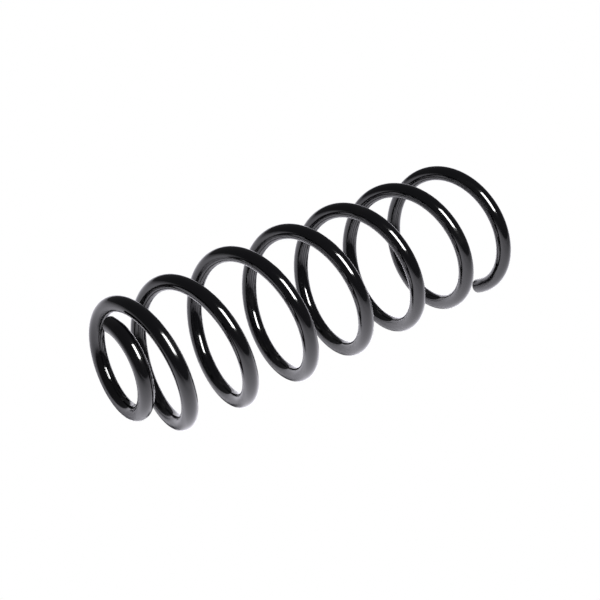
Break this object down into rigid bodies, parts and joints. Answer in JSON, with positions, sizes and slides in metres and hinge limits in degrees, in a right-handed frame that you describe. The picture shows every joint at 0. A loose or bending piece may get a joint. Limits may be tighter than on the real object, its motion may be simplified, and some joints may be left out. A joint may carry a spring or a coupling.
{
  "type": "coil spring",
  "caption": "Helical compression spring for a car strut, wound from one round wire, with a small pigtail coil at the top and an open cut end at the bottom.",
  "frame": {"origin": "on the spring axis, level with the lowest point of the wire where it lies in its lower seat", "axes": "+Z along the spring axis, from the full-diameter open end up to the pigtail; +X through the cut lower end of the wire"},
  "size_m": [0.125, 0.125, 0.3751],
  "materials": {
    "coated_wire": "gloss black powder coat over spring steel"
  },
  "bodies": {
    "lower_end_coil": {"lower_end_coil": "coated_wire"},
    "coil_1_quarter_4": {"coil_1_quarter_4": "coated_wire"},
    "coil_2_quarter_1": {"coil_2_quarter_1": "coated_wire"},
    "coil_2_quarter_2": {"coil_2_quarter_2": "coated_wire"},
    "coil_2_quarter_3": {"coil_2_quarter_3": "coated_wire"},
    "coil_2_quarter_4": {"coil_2_quarter_4": "coated_wire"},
    "coil_3_quarter_1": {"coil_3_quarter_1": "coated_wire"},
    "coil_3_quarter_2": {"coil_3_quarter_2": "coated_wire"},
    "coil_3_quarter_3": {"coil_3_quarter_3": "coated_wire"},
    "coil_3_quarter_4": {"coil_3_quarter_4": "coated_wire"},
    "coil_4_quarter_1": {"coil_4_quarter_1": "coated_wire"},
    "coil_4_quarter_2": {"coil_4_quarter_2": "coated_wire"},
    "coil_4_quarter_3": {"coil_4_quarter_3": "coated_wire"},
    "coil_4_quarter_4": {"coil_4_quarter_4": "coated_wire"},
    "coil_5_quarter_1": {"coil_5_quarter_1": "coated_wire"},
    "coil_5_quarter_2": {"coil_5_quarter_2": "coated_wire"},
    "coil_5_quarter_3": {"coil_5_quarter_3": "coated_wire"},
    "coil_5_quarter_4": {"coil_5_quarter_4": "coated_wire"},
    "coil_6_quarter_1": {"coil_6_quarter_1": "coated_wire"},
    "coil_6_quarter_2": {"coil_6_quarter_2": "coated_wire"},
    "coil_6_quarter_3": {"coil_6_quarter_3": "coated_wire"},
    "coil_6_quarter_4": {"coil_6_quarter_4": "coated_wire"},
    "coil_7_quarter_1": {"coil_7_quarter_1": "coated_wire"},
    "coil_7_quarter_2": {"coil_7_quarter_2": "coated_wire"},
    "coil_7_quarter_3": {"coil_7_quarter_3": "coated_wire"},
    "upper_end_coil": {"upper_end_coil": "coated_wire"}
  },
  "joints": [
    {"name": "compression", "type": "slide", "parent": "lower_end_coil", "child": "upper_end_coil", "axis": [0, 0, -1], "range_m": [0, 0.215], "stiffness_N_per_m": 27000},
    {"name": "coil_1_quarter_4_travel", "type": "slide", "parent": "lower_end_coil", "child": "coil_1_quarter_4", "axis": [0, 0, -1], "range_m": [0, 0.0043]},
    {"name": "coil_2_quarter_1_travel", "type": "slide", "parent": "lower_end_coil", "child": "coil_2_quarter_1", "axis": [0, 0, -1], "range_m": [0, 0.0131]},
    {"name": "coil_2_quarter_2_travel", "type": "slide", "parent": "lower_end_coil", "child": "coil_2_quarter_2", "axis": [0, 0, -1], "range_m": [0, 0.0228]},
    {"name": "coil_2_quarter_3_travel", "type": "slide", "parent": "lower_end_coil", "child": "coil_2_quarter_3", "axis": [0, 0, -1], "range_m": [0, 0.0327]},
    {"name": "coil_2_quarter_4_travel", "type": "slide", "parent": "lower_end_coil", "child": "coil_2_quarter_4", "axis": [0, 0, -1], "range_m": [0, 0.0425]},
    {"name": "coil_3_quarter_1_travel", "type": "slide", "parent": "lower_end_coil", "child": "coil_3_quarter_1", "axis": [0, 0, -1], "range_m": [0, 0.0524]},
    {"name": "coil_3_quarter_2_travel", "type": "slide", "parent": "lower_end_coil", "child": "coil_3_quarter_2", "axis": [0, 0, -1], "range_m": [0, 0.0622]},
    {"name": "coil_3_quarter_3_travel", "type": "slide", "parent": "lower_end_coil", "child": "coil_3_quarter_3", "axis": [0, 0, -1], "range_m": [0, 0.0721]},
    {"name": "coil_3_quarter_4_travel", "type": "slide", "parent": "lower_end_coil", "child": "coil_3_quarter_4", "axis": [0, 0, -1], "range_m": [0, 0.0819]},
    {"name": "coil_4_quarter_1_travel", "type": "slide", "parent": "lower_end_coil", "child": "coil_4_quarter_1", "axis": [0, 0, -1], "range_m": [0, 0.0918]},
    {"name": "coil_4_quarter_2_travel", "type": "slide", "parent": "lower_end_coil", "child": "coil_4_quarter_2", "axis": [0, 0, -1], "range_m": [0, 0.1016]},
    {"name": "coil_4_quarter_3_travel", "type": "slide", "parent": "lower_end_coil", "child": "coil_4_quarter_3", "axis": [0, 0, -1], "range_m": [0, 0.1115]},
    {"name": "coil_4_quarter_4_travel", "type": "slide", "parent": "lower_end_coil", "child": "coil_4_quarter_4", "axis": [0, 0, -1], "range_m": [0, 0.1214]},
    {"name": "coil_5_quarter_1_travel", "type": "slide", "parent": "lower_end_coil", "child": "coil_5_quarter_1", "axis": [0, 0, -1], "range_m": [0, 0.1312]},
    {"name": "coil_5_quarter_2_travel", "type": "slide", "parent": "lower_end_coil", "child": "coil_5_quarter_2", "axis": [0, 0, -1], "range_m": [0, 0.141]},
    {"name": "coil_5_quarter_3_travel", "type": "slide", "parent": "lower_end_coil", "child": "coil_5_quarter_3", "axis": [0, 0, -1], "range_m": [0, 0.1509]},
    {"name": "coil_5_quarter_4_travel", "type": "slide", "parent": "lower_end_coil", "child": "coil_5_quarter_4", "axis": [0, 0, -1], "range_m": [0, 0.1608]},
    {"name": "coil_6_quarter_1_travel", "type": "slide", "parent": "lower_end_coil", "child": "coil_6_quarter_1", "axis": [0, 0, -1], "range_m": [0, 0.1706]},
    {"name": "coil_6_quarter_2_travel", "type": "slide", "parent": "lower_end_coil", "child": "coil_6_quarter_2", "axis": [0, 0, -1], "range_m": [0, 0.1805]},
    {"name": "coil_6_quarter_3_travel", "type": "slide", "parent": "lower_end_coil", "child": "coil_6_quarter_3", "axis": [0, 0, -1], "range_m": [0, 0.19]},
    {"name": "coil_6_quarter_4_travel", "type": "slide", "parent": "lower_end_coil", "child": "coil_6_quarter_4", "axis": [0, 0, -1], "range_m": [0, 0.1986]},
    {"name": "coil_7_quarter_1_travel", "type": "slide", "parent": "lower_end_coil", "child": "coil_7_quarter_1", "axis": [0, 0, -1], "range_m": [0, 0.2056]},
    {"name": "coil_7_quarter_2_travel", "type": "slide", "parent": "lower_end_coil", "child": "coil_7_quarter_2", "axis": [0, 0, -1], "range_m": [0, 0.2107]},
    {"name": "coil_7_quarter_3_travel", "type": "slide", "parent": "lower_end_coil", "child": "coil_7_quarter_3", "axis": [0, 0, -1], "range_m": [0, 0.2138]}
  ],
  "couplings": [
    {"joint": "coil_1_quarter_4_travel", "follows": "compression", "ratio": 0.0196},
    {"joint": "coil_2_quarter_1_travel", "follows": "compression", "ratio": 0.0606},
    {"joint": "coil_2_quarter_2_travel", "follows": "compression", "ratio": 0.1059},
    {"joint": "coil_2_quarter_3_travel", "follows": "compression", "ratio": 0.1517},
    {"joint": "coil_2_quarter_4_travel", "follows": "compression", "ratio": 0.1976},
    {"joint": "coil_3_quarter_1_travel", "follows": "compression", "ratio": 0.2434},
    {"joint": "coil_3_quarter_2_travel", "follows": "compression", "ratio": 0.2892},
    {"joint": "coil_3_quarter_3_travel", "follows": "compression", "ratio": 0.335},
    {"joint": "coil_3_quarter_4_travel", "follows": "compression", "ratio": 0.3809},
    {"joint": "coil_4_quarter_1_travel", "follows": "compression", "ratio": 0.4267},
    {"joint": "coil_4_quarter_2_travel", "follows": "compression", "ratio": 0.4725},
    {"joint": "coil_4_quarter_3_travel", "follows": "compression", "ratio": 0.5184},
    {"joint": "coil_4_quarter_4_travel", "follows": "compression", "ratio": 0.5642},
    {"joint": "coil_5_quarter_1_travel", "follows": "compression", "ratio": 0.61},
    {"joint": "coil_5_quarter_2_travel", "follows": "compression", "ratio": 0.6558},
    {"joint": "coil_5_quarter_3_travel", "follows": "compression", "ratio": 0.7017},
    {"joint": "coil_5_quarter_4_travel", "follows": "compression", "ratio": 0.7475},
    {"joint": "coil_6_quarter_1_travel", "follows": "compression", "ratio": 0.7933},
    {"joint": "coil_6_quarter_2_travel", "follows": "compression", "ratio": 0.8391},
    {"joint": "coil_6_quarter_3_travel", "follows": "compression", "ratio": 0.8836},
    {"joint": "coil_6_quarter_4_travel", "follows": "compression", "ratio": 0.9235},
    {"joint": "coil_7_quarter_1_travel", "follows": "compression", "ratio": 0.9561},
    {"joint": "coil_7_quarter_2_travel", "follows": "compression", "ratio": 0.9799},
    {"joint": "coil_7_quarter_3_travel", "follows": "compression", "ratio": 0.9943}
  ]
}
